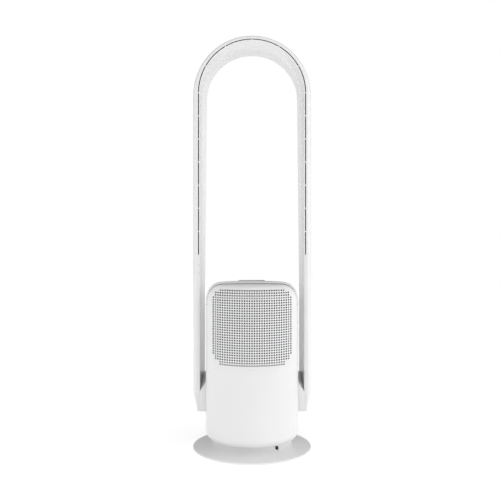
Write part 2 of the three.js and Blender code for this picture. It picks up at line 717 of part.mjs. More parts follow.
function slitFiller(side) {
  const [x0, x1] = [side * (loop.slitInner + gap), side * (loop.slitOuter - gap)].sort((a, b) => a - b);
  return block(x0, x1, 0.05, slit.ribDepth, loop.bottom + loop.capHeight + gap, slitEndZ);
}

add("loop_outer_shell", geometryOf(skinned(loopStations(outerSection))), materials.shell);
add("loop_inner_shell", geometryOf(loopInnerShell()), materials.shell);
[["left", -1], ["right", 1]].forEach(([word, side]) => {
  add(`${word}_duct`, geometryOf(sideDuct(side)), materials.shell);
  add(`${word}_duct_seal`, geometryOf(ductSeal(side)), materials.rubber);
  add(`${word}_leg_cap`, geometryOf(legCap(side)), materials.shell);
  add(`${word}_slit_filler`, geometryOf(slitFiller(side)), materials.shell);
});

export default fan3d;
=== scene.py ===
import bmesh
import bpy
import math
from mathutils import Matrix, Vector


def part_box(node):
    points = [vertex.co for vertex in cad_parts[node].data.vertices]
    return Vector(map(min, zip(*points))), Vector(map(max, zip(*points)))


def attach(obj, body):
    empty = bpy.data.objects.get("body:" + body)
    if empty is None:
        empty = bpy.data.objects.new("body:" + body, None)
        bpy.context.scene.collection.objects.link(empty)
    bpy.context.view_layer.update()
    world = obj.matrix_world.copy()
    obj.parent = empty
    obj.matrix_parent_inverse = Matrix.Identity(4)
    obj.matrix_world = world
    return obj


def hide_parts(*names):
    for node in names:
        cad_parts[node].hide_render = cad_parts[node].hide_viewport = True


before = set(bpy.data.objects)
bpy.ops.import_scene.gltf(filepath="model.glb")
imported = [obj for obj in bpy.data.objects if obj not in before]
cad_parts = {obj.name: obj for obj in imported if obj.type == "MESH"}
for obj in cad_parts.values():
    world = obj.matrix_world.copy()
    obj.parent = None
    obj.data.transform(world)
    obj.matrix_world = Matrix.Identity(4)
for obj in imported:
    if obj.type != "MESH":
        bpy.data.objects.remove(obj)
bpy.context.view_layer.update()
mm = 0.001
tau = 2 * math.pi
print("frame loaded:", len(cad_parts), "nodes")

# Camera: level, a little below the middle of the fan, square on to the intake side.

camera = {
    "lens": 47.5,
    "distance": 1.56,  # from the fan's axis
    "height": 0.4648,
    "shiftX": -0.0041,
}


def addCamera(c):
    data = bpy.data.cameras.new("camera")
    data.lens = c["lens"]
    data.shift_x = c["shiftX"]
    data.clip_start = 0.05
    data.clip_end = 60
    cam = bpy.data.objects.new("camera", data)
    cam.location = (0, -c["distance"], c["height"])
    cam.rotation_euler = (math.radians(90), 0, 0)
    bpy.context.scene.collection.objects.link(cam)
    bpy.context.scene.camera = cam


addCamera(camera)


# Material building blocks.

def addNode(tree, kind, values=None):
    node = tree.nodes.new(kind)
    for name, value in (values or {}).items():
        node.inputs[name].default_value = value
    return node


def newMaterial(name, colour, roughness, metallic=0.0, coat=0.0):
    mat = bpy.data.materials.new(name)
    mat.use_nodes = True
    shader = mat.node_tree.nodes["Principled BSDF"]
    shader.inputs["Base Color"].default_value = (*colour, 1)
    shader.inputs["Roughness"].default_value = roughness
    shader.inputs["Metallic"].default_value = metallic
    shader.inputs["Coat Weight"].default_value = coat
    mat.diffuse_color = (*colour, 1)
    return mat


def noiseOn(mat, scale, detail=3.0, stretch=(1, 1, 1)):
    # a noise that sticks to the piece; scale counts features per metre
    tree = mat.node_tree
    place = addNode(tree, "ShaderNodeTexCoord")
    mapping = addNode(tree, "ShaderNodeMapping", {"Scale": stretch})
    noise = addNode(tree, "ShaderNodeTexNoise", {"Scale": scale, "Detail": detail})
    tree.links.new(place.outputs["Object"], mapping.inputs["Vector"])
    tree.links.new(mapping.outputs["Vector"], noise.inputs["Vector"])
    return noise.outputs["Fac"]


def varyRoughness(mat, source, low, high):
    tree = mat.node_tree
    ends = {"From Min": 0.3, "From Max": 0.7, "To Min": low, "To Max": high}
    span = addNode(tree, "ShaderNodeMapRange", ends)
    tree.links.new(source, span.inputs["Value"])
    tree.links.new(span.outputs["Result"], tree.nodes["Principled BSDF"].inputs["Roughness"])


def varyColour(mat, source, colourA, colourB, low=0.35, high=0.65):
    tree = mat.node_tree
    ramp = tree.nodes.new("ShaderNodeValToRGB")
    ramp.color_ramp.elements[0].position = low
    ramp.color_ramp.elements[0].color = (*colourA, 1)
    ramp.color_ramp.elements[1].position = high
    ramp.color_ramp.elements[1].color = (*colourB, 1)
    tree.links.new(source, ramp.inputs["Fac"])
    tree.links.new(ramp.outputs["Color"], tree.nodes["Principled BSDF"].inputs["Base Color"])


def addBump(mat, source, strength, depth):
    tree = mat.node_tree
    bump = addNode(tree, "ShaderNodeBump", {"Strength": strength, "Distance": depth})
    tree.links.new(source, bump.inputs["Height"])
    tree.links.new(bump.outputs["Normal"], tree.nodes["Principled BSDF"].inputs["Normal"])


def satinPlastic(name, light, dark, roughness, grainScale, grainStrength):
    # moulded plastic: faint clouding, uneven sheen from handling and a fine spark-eroded grain
    mat = newMaterial(name, light, roughness[0])
    varyColour(mat, noiseOn(mat, 9, 4), dark, light)
    varyRoughness(mat, noiseOn(mat, 60, 5), roughness[0], roughness[1])
    addBump(mat, noiseOn(mat, grainScale, 2), grainStrength, 0.05 * mm)
    return mat


def metalSheet(name, light, dark, roughness, stretch):
    mat = newMaterial(name, light, roughness[0], metallic=1.0)
    varyColour(mat, noiseOn(mat, 40, 5), dark, light)
    varyRoughness(mat, noiseOn(mat, 300, 4, stretch), roughness[0], roughness[1])
    addBump(mat, noiseOn(mat, 900, 3, stretch), 0.15, 0.04 * mm)
    return mat


def wovenFilter(name):
    # charcoal net: two crossed wave patterns make the threads
    mat = newMaterial(name, (0.035, 0.037, 0.04), 0.9)
    tree = mat.node_tree
    place = tree.nodes.new("ShaderNodeTexCoord")
    threads = []
    for direction in ("X", "Z"):
        wave = addNode(tree, "ShaderNodeTexWave", {"Scale": 260, "Distortion": 0.4})
        wave.bands_direction = direction
        tree.links.new(place.outputs["Object"], wave.inputs["Vector"])
        threads.append(wave.outputs["Fac"])
    weave = tree.nodes.new("ShaderNodeMath")
    weave.operation = "MAXIMUM"
    tree.links.new(threads[0], weave.inputs[0])
    tree.links.new(threads[1], weave.inputs[1])
    varyColour(mat, weave.outputs["Value"], (0.012, 0.012, 0.013), (0.06, 0.062, 0.066), 0.3, 0.9)
    addBump(mat, weave.outputs["Value"], 0.7, 0.3 * mm)
    return mat


def circuitBoard(name):
    # green solder mask, with paler copper areas showing through it
    mat = newMaterial(name, (0.02, 0.16, 0.06), 0.35, coat=0.4)
    tree = mat.node_tree
    place = tree.nodes.new("ShaderNodeTexCoord")
    cells = tree.nodes.new("ShaderNodeTexVoronoi")
    cells.feature = "DISTANCE_TO_EDGE"
    cells.inputs["Scale"].default_value = 140
    cells.inputs["Randomness"].default_value = 0.35
    tree.links.new(place.outputs["Object"], cells.inputs["Vector"])
    varyColour(mat, cells.outputs["Distance"], (0.012, 0.09, 0.035), (0.03, 0.21, 0.08), 0.06, 0.12)
    addBump(mat, cells.outputs["Distance"], 0.25, 0.05 * mm)
    return mat


def smokedGlass(name):
    mat = newMaterial(name, (0.012, 0.013, 0.015), 0.06, coat=1.0)
    varyRoughness(mat, noiseOn(mat, 120, 5), 0.05, 0.14)
    addBump(mat, noiseOn(mat, 500, 2), 0.02, 0.02 * mm)
    return mat


whiteShell = satinPlastic("white_satin_plastic", (0.80, 0.80, 0.80), (0.785, 0.785, 0.785), (0.3, 0.42), 2600, 0.10)
greyChassis = satinPlastic("grey_chassis_plastic", (0.62, 0.63, 0.64), (0.57, 0.58, 0.59), (0.5, 0.65), 1500, 0.3)
blackPlastic = satinPlastic("black_plastic", (0.018, 0.018, 0.019), (0.012, 0.012, 0.013), (0.4, 0.55), 1800, 0.3)
rubber = satinPlastic("black_rubber", (0.035, 0.035, 0.037), (0.02, 0.02, 0.022), (0.75, 0.95), 900, 0.5)
acetal = satinPlastic("natural_acetal", (0.78, 0.76, 0.70), (0.72, 0.70, 0.64), (0.35, 0.5), 1200, 0.2)
fanPlastic = satinPlastic("blue_grey_fan_plastic", (0.30, 0.33, 0.37), (0.26, 0.29, 0.33), (0.38, 0.5), 1400, 0.25)
panelGrey = satinPlastic("panel_grey_lacquer", (0.36, 0.37, 0.38), (0.33, 0.34, 0.35), (0.22, 0.3), 3000, 0.08)
zincSteel = metalSheet("zinc_plated_steel", (0.62, 0.63, 0.65), (0.5, 0.51, 0.52), (0.25, 0.42), (1, 1, 0.1))
copperWire = metalSheet("enamelled_copper_wire", (0.70, 0.33, 0.16), (0.5, 0.2, 0.09), (0.25, 0.4), (1, 1, 14))
filterNet = wovenFilter("charcoal_filter_net")
boardGreen = circuitBoard("green_circuit_board")
panelGlass = smokedGlass("smoked_panel_glass")
print("materials made")


# Mesh building blocks.

def shade(piece, sharpAngle=32):
    piece.data.shade_smooth()
    piece.data.set_sharp_from_angle(angle=math.radians(sharpAngle))


def newPiece(name, points, faces, sharpAngle=32):
    mesh = bpy.data.meshes.new(name)
    mesh.from_pydata(points, [], faces)
    mesh.validate()
    piece = bpy.data.objects.new(name, mesh)
    bpy.context.scene.collection.objects.link(piece)
    shade(piece, sharpAngle)
    return piece


def settle(piece):
    # turns the live modifiers into plain mesh
    graph = bpy.context.evaluated_depsgraph_get()
    mesh = bpy.data.meshes.new_from_object(piece.evaluated_get(graph))
    piece.modifiers.clear()
    old = piece.data
    piece.data = mesh
    mesh.name = piece.name
    bpy.data.meshes.remove(old)
    return piece


def drop(piece):
    mesh = piece.data
    bpy.data.objects.remove(piece)
    bpy.data.meshes.remove(mesh)


def carve(piece, tool, operation="DIFFERENCE"):
    boolean = piece.modifiers.new("carve", "BOOLEAN")
    boolean.operation = operation
    boolean.solver = "MANIFOLD"
    boolean.object = tool
    settle(piece)
    drop(tool)
    return piece


def merge(piece, others):
    for other in others:
        carve(piece, other, "UNION")
    return piece


def rounded(piece, width, segments=2, angle=40):
    bevel = piece.modifiers.new("edges", "BEVEL")
    bevel.width = width
    bevel.segments = segments
    bevel.limit_method = "ANGLE"
    bevel.angle_limit = math.radians(angle)
    bevel.use_clamp_overlap = True
    settle(piece)
    shade(piece, 40)
    return piece


def arc(centre, radius, startDeg, endDeg, steps):
    cx, cy = centre
    turns = [math.radians(startDeg + (endDeg - startDeg) * i / steps) for i in range(steps + 1)]
    return [(cx + radius * math.cos(t), cy + radius * math.sin(t)) for t in turns]


def bezier(p0, p1, p2, p3, steps):
    def at(t):
        u = 1 - t
        weights = (u ** 3, 3 * u * u * t, 3 * u * t * t, t ** 3)
        return tuple(sum(w * p[k] for w, p in zip(weights, (p0, p1, p2, p3))) for k in (0, 1))
    return [at(i / steps) for i in range(steps + 1)]


def turned(name, profile, segments=128, sharpAngle=32):
    # profile: (radius, height) pairs. It closes on itself, or ends on the axis at both ends.
    points, rings, faces = [], [], []
    for r, z in profile:
        if r < 1e-6:
            rings.append([len(points)] * segments)
            points.append((0, 0, z))
        else:
            rings.append(list(range(len(points), len(points) + segments)))
            turns = [tau * i / segments for i in range(segments)]
            points += [(r * math.cos(t), r * math.sin(t), z) for t in turns]
    onAxis = profile[0][0] < 1e-6
    pairs = list(zip(rings, rings[1:])) + ([] if onAxis else [(rings[-1], rings[0])])
    for a, b in pairs:
        for i in range(segments):
            j = (i + 1) % segments
            corners = [a[i], a[j], b[j], b[i]]
            face = [c for k, c in enumerate(corners) if c != corners[k - 1]]
            if len(face) > 2:
                faces.append(face)
    area = sum(r0 * z1 - r1 * z0 for (r0, z0), (r1, z1) in zip(profile, profile[1:] + profile[:1]))
    if area < 0:
        faces = [face[::-1] for face in faces]
    return newPiece(name, points, faces, sharpAngle)


def ringPiece(name, inner, outer, low, high, segments=96):
    return turned(name, [(inner, low), (outer, low), (outer, high), (inner, high)], segments)


def rod(name, radius, low, high, at=(0, 0), segments=48):
    piece = turned(name, [(0, low), (radius, low), (radius, high), (0, high)], segments)
    piece.data.transform(Matrix.Translation((at[0], at[1], 0)))
    return piece


def block(name, low, high):
    (x0, y0, z0), (x1, y1, z1) = low, high
    points = [(x, y, z) for z in (z0, z1) for x, y in ((x0, y0), (x1, y0), (x1, y1), (x0, y1))]
    faces = [(3, 2, 1, 0), (4, 5, 6, 7), (0, 1, 5, 4), (1, 2, 6, 5), (2, 3, 7, 6), (3, 0, 4, 7)]
    return newPiece(name, points, faces)


def raised(name, outline, low, high):
    # an outline in the XY plane, anticlockwise, raised from low to high
    count = len(outline)
    points = [(x, y, low) for x, y in outline] + [(x, y, high) for x, y in outline]
    sides = [(i, (i + 1) % count, count + (i + 1) % count, count + i) for i in range(count)]
    faces = sides + [tuple(range(count))[::-1], tuple(range(count, 2 * count))]
    return newPiece(name, points, faces)


def roundedRectangle(x0, x1, y0, y1, r, steps=8):
    corners = [((x1 - r, y0 + r), -90), ((x1 - r, y1 - r), 0), ((x0 + r, y1 - r), 90), ((x0 + r, y0 + r), 180)]
    return [p for centre, start in corners for p in arc(centre, r, start, start + 90, steps)]


def lofted(name, stations, sharpAngle=32):
    # each station is a closed ring of the same number of points; the two ends are capped
    count = len(stations[0])
    points = [p for ring in stations for p in ring]
    faces = []
    for s in range(len(stations) - 1):
        for i in range(count):
            a, b = s * count + i, s * count + (i + 1) % count
            faces.append((a, b, b + count, a + count))
    last = (len(stations) - 1) * count
    faces += [tuple(range(count))[::-1], tuple(range(last, last + count))]
    piece = newPiece(name, points, faces, sharpAngle)
    faceOutward(piece, sharpAngle)
    return piece


def faceOutward(piece, sharpAngle=32):
    mesh = bmesh.new()
    mesh.from_mesh(piece.data)
    if mesh.calc_volume(signed=True) < 0:
        bmesh.ops.reverse_faces(mesh, faces=mesh.faces)
    mesh.to_mesh(piece.data)
    mesh.free()
    shade(piece, sharpAngle)


def toOtherSide(piece):
    # moves a piece across the YZ plane, turned right side out
    piece.data.transform(Matrix.Scale(-1, 4, (1, 0, 0)))
    piece.data.flip_normals()


def fit(piece, body, nodes, mat):
    # gives a finished piece its finish, its body and the CAD nodes that it stands for
    if mat is not None:
        piece.data.materials.clear()
        piece.data.materials.append(mat)
    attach(piece, body)
    if nodes:
        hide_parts(*nodes)
    return piece


# Geometry Nodes trees, for what repeats.

def socket(tree, name, kind, default=None):
    made = tree.interface.new_socket(name=name, in_out="INPUT", socket_type=kind)
    if default is not None:
        made.default_value = default
    return made


def treeWithEnds(name):
    tree = bpy.data.node_groups.new(name, "GeometryNodeTree")
    tree.interface.new_socket(name="Geometry", in_out="INPUT", socket_type="NodeSocketGeometry")
    tree.interface.new_socket(name="Geometry", in_out="OUTPUT", socket_type="NodeSocketGeometry")
    return tree, tree.nodes.new("NodeGroupInput"), tree.nodes.new("NodeGroupOutput")


def closeTree(tree, inputs, outputs, geometry):
    # every tree ends the same way: plain mesh, then its material
    realize = tree.nodes.new("GeometryNodeRealizeInstances")
    paint = tree.nodes.new("GeometryNodeSetMaterial")
    tree.links.new(geometry, realize.inputs[0])
    tree.links.new(realize.outputs[0], paint.inputs["Geometry"])
    tree.links.new(inputs.outputs["Finish"], paint.inputs["Material"])
    tree.links.new(paint.outputs["Geometry"], outputs.inputs[0])


def repeatTree():
    # copies the piece round the Z axis
    tree, inputs, outputs = treeWithEnds("repeatRoundAxis")
    socket(tree, "Count", "NodeSocketInt", 4)
    socket(tree, "Finish", "NodeSocketMaterial")
    places = addNode(tree, "GeometryNodeMeshLine", {"Offset": (0, 0, 0)})
    index = tree.nodes.new("GeometryNodeInputIndex")
    step = addNode(tree, "ShaderNodeMath", {0: tau})
    step.operation = "DIVIDE"
    angle = tree.nodes.new("ShaderNodeMath")
    angle.operation = "MULTIPLY"
    turn = tree.nodes.new("ShaderNodeCombineXYZ")
    copies = tree.nodes.new("GeometryNodeInstanceOnPoints")
    link = tree.links.new
    link(inputs.outputs["Count"], places.inputs["Count"])
    link(inputs.outputs["Count"], step.inputs[1])
    link(index.outputs[0], angle.inputs[0])
    link(step.outputs[0], angle.inputs[1])
    link(angle.outputs[0], turn.inputs["Z"])
    link(places.outputs["Mesh"], copies.inputs["Points"])
    link(inputs.outputs["Geometry"], copies.inputs["Instance"])
    link(turn.outputs[0], copies.inputs["Rotation"])
    closeTree(tree, inputs, outputs, copies.outputs["Instances"])
    return tree


def punchTree():
    # punches round pins, lying along Y, out of the piece at each point of another object
    tree, inputs, outputs = treeWithEnds("punchHoles")
    socket(tree, "Places", "NodeSocketObject")
    socket(tree, "Radius", "NodeSocketFloat", 1 * mm)
    socket(tree, "Length", "NodeSocketFloat", 10 * mm)
    socket(tree, "Sides", "NodeSocketInt", 12)
    socket(tree, "Finish", "NodeSocketMaterial")
    places = tree.nodes.new("GeometryNodeObjectInfo")
    pin = tree.nodes.new("GeometryNodeMeshCylinder")
    copies = addNode(tree, "GeometryNodeInstanceOnPoints", {"Rotation": (math.radians(90), 0, 0)})
    pins = tree.nodes.new("GeometryNodeRealizeInstances")
    cut = tree.nodes.new("GeometryNodeMeshBoolean")
    cut.operation = "DIFFERENCE"
    cut.solver = "MANIFOLD"
    link = tree.links.new
    link(inputs.outputs["Places"], places.inputs["Object"])
    link(inputs.outputs["Sides"], pin.inputs["Vertices"])
    link(inputs.outputs["Radius"], pin.inputs["Radius"])
    link(inputs.outputs["Length"], pin.inputs["Depth"])
    link(places.outputs["Geometry"], copies.inputs["Points"])
    link(pin.outputs["Mesh"], copies.inputs["Instance"])
    link(copies.outputs["Instances"], pins.inputs[0])
    link(inputs.outputs["Geometry"], cut.inputs["Mesh 1"])
    link(pins.outputs[0], cut.inputs["Mesh 2"])
    closeTree(tree, inputs, outputs, cut.outputs["Mesh"])
    return tree


def ribTree():
    # stands the instance piece on each point, turned about Y by the point's own "turn"
    tree, inputs, outputs = treeWithEnds("ribsAcrossSlit")
    socket(tree, "Rib", "NodeSocketObject")
    socket(tree, "Finish", "NodeSocketMaterial")
    rib = tree.nodes.new("GeometryNodeObjectInfo")
    turnValue = addNode(tree, "GeometryNodeInputNamedAttribute", {"Name": "turn"})
    turnValue.data_type = "FLOAT"
    turn = tree.nodes.new("ShaderNodeCombineXYZ")
    copies = tree.nodes.new("GeometryNodeInstanceOnPoints")
    link = tree.links.new
    link(inputs.outputs["Rib"], rib.inputs["Object"])
    link(turnValue.outputs["Attribute"], turn.inputs["Y"])
    link(inputs.outputs["Geometry"], copies.inputs["Points"])
    link(rib.outputs["Geometry"], copies.inputs["Instance"])
    link(turn.outputs[0], copies.inputs["Rotation"])
    closeTree(tree, inputs, outputs, copies.outputs["Instances"])
    return tree


def runTree(piece, tree, values):
    modifier = piece.modifiers.new(tree.name, "NODES")
    modifier.node_group = tree
    ids = {s.name: s.identifier for s in tree.interface.items_tree if s.in_out == "INPUT"}
    for name, value in values.items():
        modifier[ids[name]] = value
    settle(piece)


roundAxis = repeatTree()
punchHoles = punchTree()
ribsAcross = ribTree()


def repeated(piece, count, mat, sharpAngle=32):
    runTree(piece, roundAxis, {"Count": count, "Finish": mat})
    shade(piece, sharpAngle)
    return piece


def screw(name, headRadius, headLow, headHigh, shankRadius, tipHigh, circle, angleDeg):
    # pan head with a cross recess, its head facing the floor
    crown = 0.5 * mm
    profile = [(0, headLow)] + arc((headRadius - crown, headLow + crown), crown, -90, 0, 4)
    profile += [(headRadius, headHigh), (shankRadius, headHigh), (shankRadius, tipHigh - 1 * mm), (0, tipHigh)]
    piece = turned(name, profile, 32)
    long, short = 2.1 * mm, 0.45 * mm  # half the recess's length and width
    for x, y in ((long, short), (short, long)):
        carve(piece, block("slotCut", (-x, -y, headLow - 1 * mm), (x, y, headLow + 1.1 * mm)))
    piece.data.transform(Matrix.Rotation(math.radians(angleDeg), 4, "Z") @ Matrix.Translation((circle, 0, 0)))
    return piece


# Foot: flared cover, plate, rubber feet, screws and the power inlet.

coverLow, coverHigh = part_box("base_cover")
foot = {
    "radius": coverHigh.x,
    "neckRadius": 87 * mm,
    "neckTop": coverHigh.z,
    "rimHeight": 3.6 * mm,
    "wall": 2.2 * mm,
    "boreRadius": 30 * mm,
    "lip": 1.4 * mm,
    "shoulderZ": 21.6 * mm,  # where the neck turns in to its flat top
    "shoulder": 1.2 * mm,
}


def footCover(f):
    low, rim, neck = coverLow.z, f["radius"], f["neckRadius"]
    lip, shoulderZ, shoulder = f["lip"], f["shoulderZ"], f["shoulder"]
    outside = [(rim - 0.5 * mm, low), (rim, low + 0.5 * mm)]
    outside += arc((rim - lip, f["rimHeight"]), lip, 0, 80, 8)
    outside += bezier((rim - 2.5 * mm, 5.1 * mm), (108 * mm, 6.1 * mm), (88 * mm, 6.6 * mm), (neck, shoulderZ), 36)
    outside += arc((neck - shoulder, shoulderZ), shoulder, 10, 90, 6)
    deck = [(f["boreRadius"], f["neckTop"]), (f["boreRadius"], f["neckTop"] - f["wall"])]
    inside = [(84.6 * mm, 20.4 * mm)]
    inside += bezier((84.8 * mm, 18 * mm), (86.2 * mm, 4.6 * mm), (108 * mm, 4.2 * mm), (136 * mm, 3.1 * mm), 14)
    inside += [(rim - 2 * mm, low)]
    return turned("foot_cover", outside + deck + inside, 256)


def inletBar(name, radius, near, far):
    # a bar on the power inlet's axis, between two distances from the middle of the foot
    return aimAtInlet(rod(name, radius, near, far))


def aimAtInlet(piece):
    # takes a piece made along Z out to the inlet's own direction and height
    low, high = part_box("power_inlet")
    middle = (low + high) / 2
    around = math.atan2(middle.y, middle.x)
    tipped = Matrix.Rotation(around, 4, "Z") @ Matrix.Rotation(math.radians(90), 4, "Y")
    piece.data.transform(Matrix.Translation((0, 0, middle.z)) @ tipped)
    return piece


inlet = {
    "face": 87.8 * mm,  # distance of the socket's face from the middle
    "radius": 4.7 * mm,
    "boreRadius": 3.9 * mm,
    "depth": 12.5 * mm,
    "boreDepth": 9.3 * mm,
    "pinRadius": 1 * mm,
    "clear": 0.15 * mm,
    "edge": 0.4 * mm,
}


def powerSocket(s):
    radius, bore, edge = s["radius"], s["boreRadius"], s["edge"]
    back, front = s["face"] - s["depth"], s["face"] - edge
    floor = s["face"] - s["boreDepth"]
    lip = 0.5 * mm
    profile = [(0, back), (radius - edge, back), (radius, back + edge), (radius, front - lip)]
    profile += arc((radius - lip, front - lip), lip, 0, 90, 4)
    profile += [(bore + edge, front), (bore, front - edge), (bore, floor), (0, floor)]
    return aimAtInlet(turned("power_socket", profile, 64))


def powerPin(s):
    low, high = s["face"] - s["boreDepth"] + 0.1 * mm, s["face"] - 1.6 * mm
    profile = [(0, low), (s["pinRadius"], low)] + arc((0, high - s["pinRadius"]), s["pinRadius"], 0, 90, 6)
    return aimAtInlet(turned("power_pin", profile, 32))


def footPlate():
    low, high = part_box("base_bottom_plate")
    edge = high.x
    top, step, groove = high.z, low.z, 0.5 * mm
    profile = [(0, step), (62 * mm, step), (62.6 * mm, step + groove), (64.4 * mm, step + groove), (65 * mm, step)]
    profile += [(106 * mm, step), (106.6 * mm, step + groove), (107.4 * mm, step + groove), (108 * mm, step)]
    profile += [(edge - 0.6 * mm, step), (edge, step + 0.6 * mm), (edge, top), (0, top)]
    plate = turned("foot_plate", profile, 192)
    wells = rod("wells", 4.1 * mm, step - 1 * mm, top + 1 * mm, segments=40)
    wells.data.transform(Matrix.Rotation(math.radians(45), 4, "Z") @ Matrix.Translation((70 * mm, 0, 0)))
    repeated(wells, 4, None)
    return carve(plate, wells)


def rubberFoot():
    low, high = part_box("foot_1")
    middle, radius = (low + high) / 2, (high.x - low.x) / 2
    thick = high.z
    profile = [(0, 0.15 * mm), (radius - 3 * mm, 0.15 * mm), (radius - 2.6 * mm, 0), (radius - 0.5 * mm, 0)]
    profile += arc((radius - 0.4 * mm, 0.4 * mm), 0.4 * mm, -80, 0, 4) + [(radius, thick), (0, thick)]
    pad = turned("rubber_feet", profile, 48)
    pad.data.transform(Matrix.Translation((middle.x, middle.y, 0)))
    return repeated(pad, 5, rubber)


footShell = footCover(foot)
inletHole = inletBar("inletHole", inlet["radius"] + inlet["clear"], inlet["face"] - 14 * mm, inlet["face"] + 9 * mm)
carve(footShell, inletHole)
shade(footShell, 38)
fit(footShell, "base", ["base_cover"], whiteShell)
fit(powerSocket(inlet), "base", ["power_inlet"], blackPlastic)
fit(powerPin(inlet), "base", ["power_inlet_pin"], zincSteel)
fit(footPlate(), "base", ["base_bottom_plate"], greyChassis)
fit(rubberFoot(), "base", [f"foot_{i}" for i in range(1, 6)], rubber)
footScrews = screw("foot_screws", 3.6 * mm, 1.35 * mm, 2.7 * mm, 1.6 * mm, 8 * mm, 70 * mm, 45)
repeated(footScrews, 4, zincSteel)
fit(footScrews, "base", [f"base_screw_{i}" for i in range(1, 5)], zincSteel)
print("foot made")


# Drum: rounded shell and grille cover, cut from one turned vessel.

shellLow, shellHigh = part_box("body_shell")
drum = {
    "radius": shellHigh.y,
    "bottom": shellLow.z,
    "fillet": 18 * mm,
    "shoulderZ": 339 * mm,
    "shoulderDrop": 50 * mm,
    "shoulderReach": 40 * mm,
    "shoulderPower": 2.5,
    "crown": 1 * mm,
    "wall": 2.5 * mm,
    "segments": 288,
    "seamY": -32 * mm,
    "seamStep": 338 * mm,
    "seamGap": 0.9 * mm,
    "coverDrop": 3.4 * mm,  # the cover's top lies this much below the shell's
    # the painted-shadow strip in the seam sits this much below the shell's top
    "shadowStripDrop": 2.3 * mm,
}


def drumProfile(d, inset, sunk=0):
    corner = d["radius"] - d["fillet"]
    fillet = arc((corner, d["bottom"] + d["fillet"]), d["fillet"] - inset, -90, 0, 14)
    shoulder = []
    for i in range(25):
        t = math.radians(i * 90 / 24)
        across = (d["shoulderReach"] - inset) * abs(math.cos(t)) ** (2 / d["shoulderPower"])
        up = (d["shoulderDrop"] - inset - sunk) * math.sin(t) ** (2 / d["shoulderPower"])
        shoulder.append((d["radius"] - d["shoulderReach"] + across, d["shoulderZ"] + up))
    top = d["shoulderZ"] + d["shoulderDrop"] - inset - sunk
    crown = [(r * mm, top + d["crown"] * (1 - (r / 69) ** 2)) for r in (52, 35, 18)] + [(0, top + d["crown"])]
    return [(0, d["bottom"] + inset)] + fillet + shoulder + crown


def vessel(d, name, sunk=0):
    outer = turned(name, drumProfile(d, 0, sunk), d["segments"])
    carve(outer, turned("hollow", drumProfile(d, d["wall"], sunk), d["segments"]))
    return carve(outer, rod("floorHole", 90 * mm, 20 * mm, 28 * mm, segments=128))


def seamTool(d, grow):
    # the space in front of the seam, which drops behind the widest line of the drum below the step
    reach, half = 0.2, d["seamGap"] / 2
    lower, step = -half + grow, d["seamStep"] + grow
    tool = block("seamLow", (-reach, -reach, 0), (reach, lower, step))
    return merge(tool, [block("seamHigh", (-reach, -reach, 0), (reach, d["seamY"] - half + grow, 0.5))])


def drumRadiusAt(d, z):
    if z <= d["shoulderZ"]:
        return d["radius"]
    share = ((z - d["shoulderZ"]) / d["shoulderDrop"]) ** d["shoulderPower"]
    return d["radius"] - d["shoulderReach"] + d["shoulderReach"] * (1 - share) ** (1 / d["shoulderPower"])


grille = {
    "pitch": 5.5 * mm,
    "columns": 33,
    "rows": 31,
    "lowestRow": 209.2 * mm,
    "holeRadius": 1.9 * mm,
    "dimpleRadius": 1.0 * mm,
    "dimpleDepth": 0.5 * mm,
    "topSteps": [3, 1, 1],  # holes left out at each end of a row, from the top row down
    "bottomSteps": [3, 3, 1, 1],
    "border": 2,  # rings of dimples round the holes
}


def grillePlaces(d, g):
    # where the holes and the dimples sit on the drum's surface
    topRow = g["rows"] - 1
    missing = {topRow - i: n for i, n in enumerate(g["topSteps"])}
    missing.update({i: n for i, n in enumerate(g["bottomSteps"])})
    half, border = g["columns"] // 2, g["border"]
    cells = [(c, r) for r in range(g["rows"]) for c in range(-half, half + 1)]
    holes = {(c, r) for c, r in cells if abs(c) <= half - missing.get(r, 0)}
    near = [(i, j) for i in range(-border, border + 1) for j in range(-border, border + 1)]
    dimples = {(c + i, r + j) for c, r in holes for i, j in near} - holes

    def spot(cell):
        x, z = cell[0] * g["pitch"], g["lowestRow"] + cell[1] * g["pitch"]
        depth = drumRadiusAt(d, z) ** 2 - x ** 2
        return (x, -math.sqrt(depth), z) if depth > (-d["seamY"] + 2.5 * mm) ** 2 else None

    found = [[s for s in map(spot, sorted(cells)) if s] for cells in (holes, dimples)]
    return [newPiece(name, spots, []) for name, spots in zip(("holePlaces", "dimplePlaces"), found)]


def grilleCover(d, g):
    cover = carve(vessel(d, "grille_cover_visual", d["coverDrop"]), seamTool(d, 0), "INTERSECT")
    clips = []
    for side in (-1, 1):
        for z in (60 * mm, 250 * mm):
            x0, x1 = sorted((side * 103 * mm, side * 105.9 * mm))
            clips.append(block("clip", (x0, -22 * mm, z), (x1, 6.5 * mm, z + 8 * mm)))
    limit = rod("clipLimit", 106.6 * mm, 50 * mm, 270 * mm, segments=128)
    clipSet = carve(merge(clips[0], clips[1:]), limit, "INTERSECT")
    merge(cover, [clipSet])
    holes, dimples = grillePlaces(d, g)
    cut = {"Places": holes, "Radius": g["holeRadius"], "Length": 16 * mm, "Sides": 14, "Finish": whiteShell}
    runTree(cover, punchHoles, cut)
    cut.update({"Places": dimples, "Radius": g["dimpleRadius"], "Length": 2 * g["dimpleDepth"], "Sides": 10})
    runTree(cover, punchHoles, cut)
    drop(holes)
    drop(dimples)
    shade(cover, 30)
    return cover


def seamShadowStrip(d):
    # a thin dark strip in the joint between the cover and the shell: painted shadow that darkens the seam line
    strip = carve(vessel(d, "seam_gasket", d["shadowStripDrop"]), seamTool(d, d["seamGap"] - 0.05 * mm), "INTERSECT")
    carve(strip, seamTool(d, 0.05 * mm))
    carve(strip, rod("bottomRoom", 0.2, 0, 46 * mm))
    shade(strip, 30)
    return strip


panelLow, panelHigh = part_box("control_panel")
lensLow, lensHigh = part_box("display_lens")
panel = {"corner": 5 * mm, "clear": 0.3 * mm, "spotGap": 12 * mm}
airway = {"front": 16 * mm, "back": 78 * mm, "low": 94 * mm, "high": 132 * mm}


